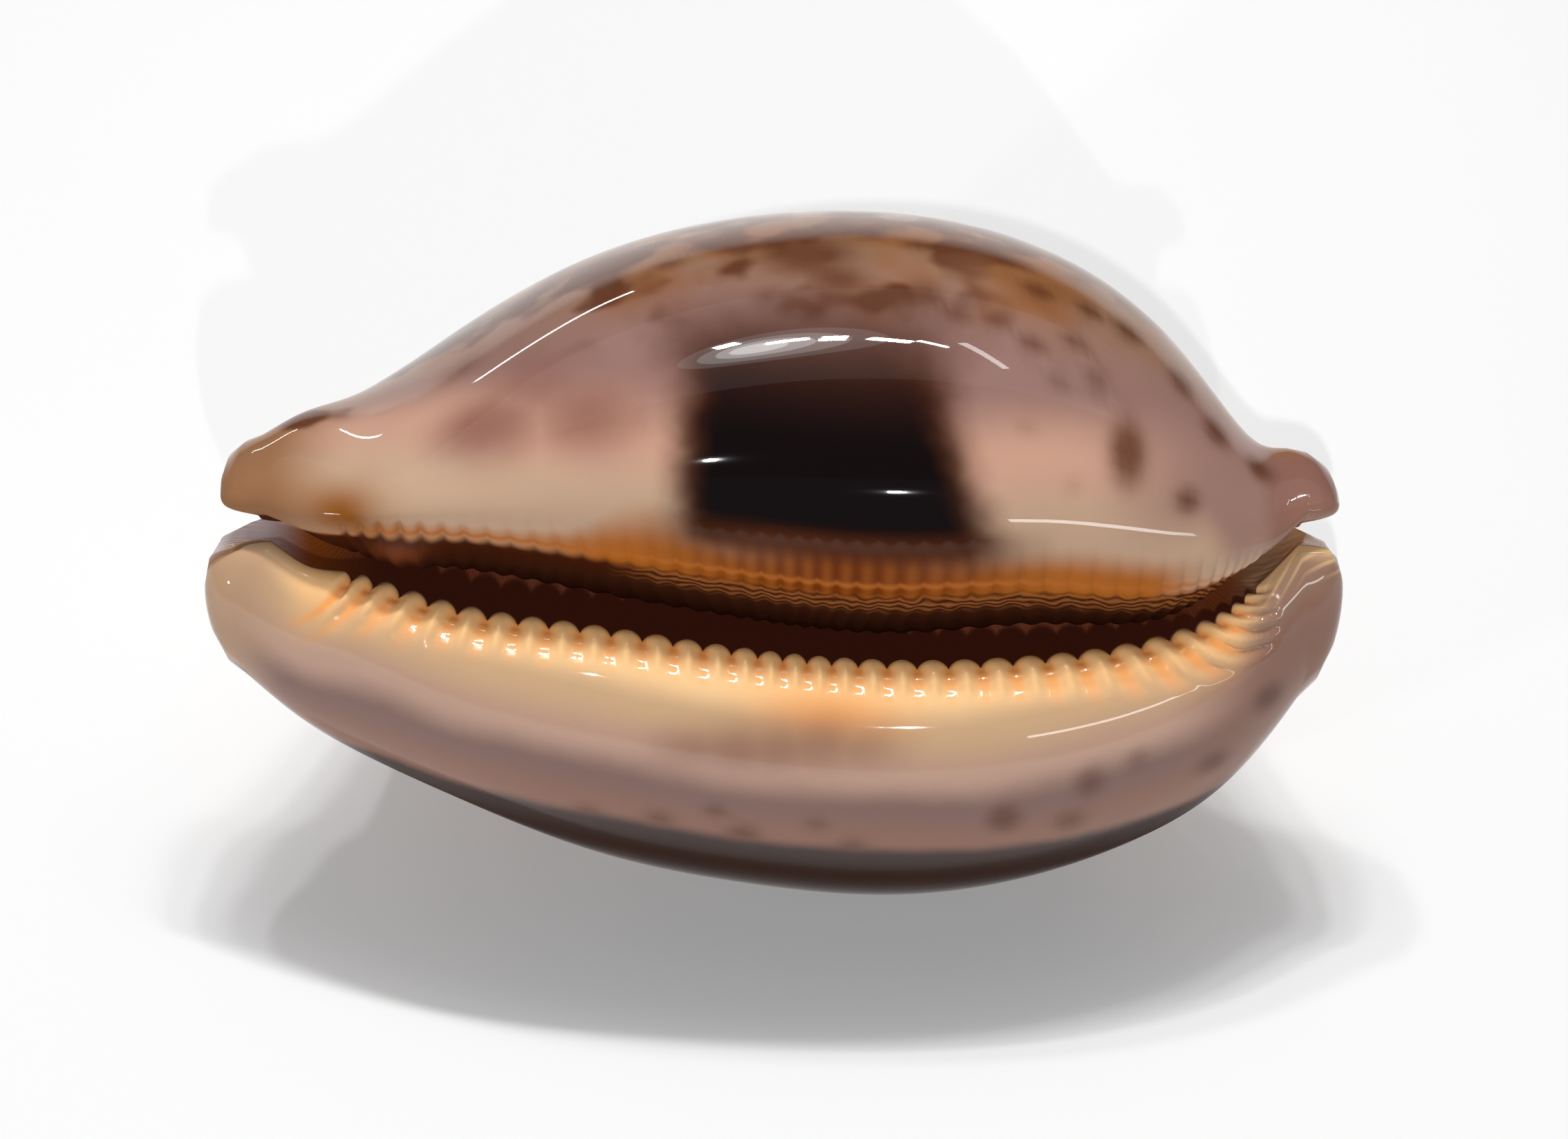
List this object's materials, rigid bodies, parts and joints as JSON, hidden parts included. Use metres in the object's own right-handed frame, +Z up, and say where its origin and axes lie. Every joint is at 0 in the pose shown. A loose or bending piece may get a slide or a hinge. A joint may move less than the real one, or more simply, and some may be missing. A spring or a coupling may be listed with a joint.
{
  "type": "cowrie shell",
  "caption": "Map cowrie shell with a cream, toothed slit, a large dark brown blotch on its glossy base and a mapped dorsum.",
  "frame": {"origin": "centre of the small flat spot that the shell rests on, on the floor", "axes": "+X along the shell towards its right-hand end in the picture, +Z up, -Y towards the viewer that the toothed slit faces"},
  "size_m": [0.0718, 0.0426, 0.0435],
  "materials": {
    "shell": "gloss"
  },
  "bodies": {
    "root": {"cowrie_shell": "shell"}
  },
  "joints": []
}
